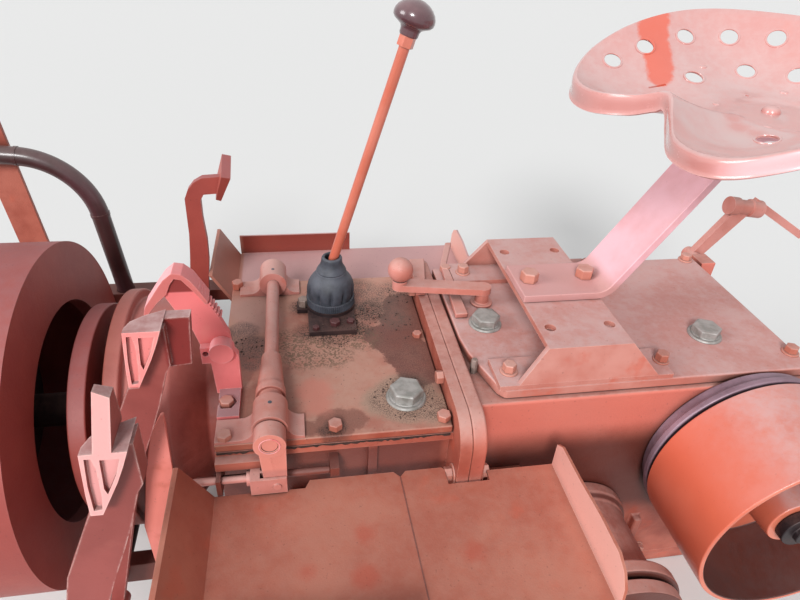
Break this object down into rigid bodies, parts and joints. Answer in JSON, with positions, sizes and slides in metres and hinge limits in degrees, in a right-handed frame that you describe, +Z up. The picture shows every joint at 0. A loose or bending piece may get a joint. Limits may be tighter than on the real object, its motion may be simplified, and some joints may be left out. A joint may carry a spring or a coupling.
{
  "type": "tractor transmission unit with driver's station",
  "caption": "Vintage tractor gearbox and rear housing with open flywheel, belt pulley, foot plates, pedals, gear lever and pan seat.",
  "frame": {"origin": "on the ground under the sump pan, at the seam between gearbox and rear housing, on the centre line", "axes": "+Z up, +X to the tractor's rear, +Y to its right-hand side"},
  "size_m": [1.609, 0.82, 0.9187],
  "materials": {
    "cast_paint": "satin",
    "plate_paint": "matt, dusty",
    "lever_paint": "satin",
    "seat_paint": "gloss",
    "pulley_paint": "gloss",
    "zinc": "weathered",
    "dark_steel": "oily",
    "pipe_enamel": "gloss",
    "rubber": "matt",
    "knob": "gloss"
  },
  "bodies": {
    "casing": {"sump_pan": "cast_paint", "gearbox_case": "cast_paint", "gearbox_cover": "plate_paint", "cover_plug": "zinc", "bell_housing": "cast_paint", "input_shaft": "dark_steel", "clutch_disc": "dark_steel", "rear_housing": "cast_paint", "rear_cover": "plate_paint", "rear_plugs": "zinc", "pulley_housing": "dark_steel", "pulley_shaft": "dark_steel", "near_trumpet": "cast_paint", "far_trumpet": "cast_paint", "power_shaft_cap": "cast_paint", "drawbar": "cast_paint", "seat_bracket": "plate_paint", "seat_spring": "seat_paint", "seat_pan": "seat_paint", "cross_shaft": "lever_paint", "near_bearing": "lever_paint", "far_bearing": "lever_paint", "cross_arm": "lever_paint", "side_rod": "lever_paint", "pull_rod": "lever_paint", "lever_base": "dark_steel", "lever_boot": "rubber", "gear_lever": "lever_paint", "gear_knob": "knob", "drive_pivot": "lever_paint", "drive_lever": "lever_paint", "drive_gate": "plate_paint", "near_foot_plate": "plate_paint", "far_foot_plate": "plate_paint", "pedal_shaft": "dark_steel", "pedal_hangers": "cast_paint", "pedal_stop": "plate_paint", "latch_bracket": "lever_paint", "latch_lever": "lever_paint", "linkage_pivot": "cast_paint", "linkage_crank": "lever_paint", "side_pipe": "pipe_enamel", "pipe_stay": "cast_paint", "pipe_bracket": "cast_paint"},
    "flywheel": {"flywheel": "cast_paint", "clutch_drum": "dark_steel"},
    "belt_pulley": {"belt_pulley": "pulley_paint"},
    "near_hub": {"near_hub": "cast_paint"},
    "far_hub": {"far_hub": "cast_paint"},
    "power_shaft": {"power_shaft": "dark_steel"},
    "near_pedal": {"near_pedal": "lever_paint"},
    "near_outer_pedal": {"near_outer_pedal": "lever_paint"},
    "far_pedal": {"far_pedal": "lever_paint"}
  },
  "joints": [
    {"name": "flywheel_spin", "type": "hinge", "parent": "casing", "child": "flywheel", "pos_m": [-0.65, 0, 0.358], "axis": [1, 0, 0], "continuous": true},
    {"name": "belt_pulley_spin", "type": "hinge", "parent": "casing", "child": "belt_pulley", "pos_m": [0.439, -0.27, 0.346], "axis": [0, 1, 0], "continuous": true},
    {"name": "near_hub_spin", "type": "hinge", "parent": "casing", "child": "near_hub", "pos_m": [0.2, -0.3, 0.188], "axis": [0, 1, 0], "continuous": true},
    {"name": "far_hub_spin", "type": "hinge", "parent": "casing", "child": "far_hub", "pos_m": [0.2, 0.3, 0.188], "axis": [0, 1, 0], "continuous": true},
    {"name": "power_shaft_spin", "type": "hinge", "parent": "casing", "child": "power_shaft", "pos_m": [0.6, 0, 0.24], "axis": [1, 0, 0], "continuous": true},
    {"name": "near_pedal_press", "type": "hinge", "parent": "casing", "child": "near_pedal", "pos_m": [-0.5, -0.203, 0.15], "axis": [0, -1, 0], "range_deg": [0, 14]},
    {"name": "near_outer_pedal_press", "type": "hinge", "parent": "casing", "child": "near_outer_pedal", "pos_m": [-0.5, -0.358, 0.15], "axis": [0, -1, 0], "range_deg": [0, 14]},
    {"name": "far_pedal_press", "type": "hinge", "parent": "casing", "child": "far_pedal", "pos_m": [-0.5, 0.236, 0.15], "axis": [0, -1, 0], "range_deg": [0, 14]}
  ]
}
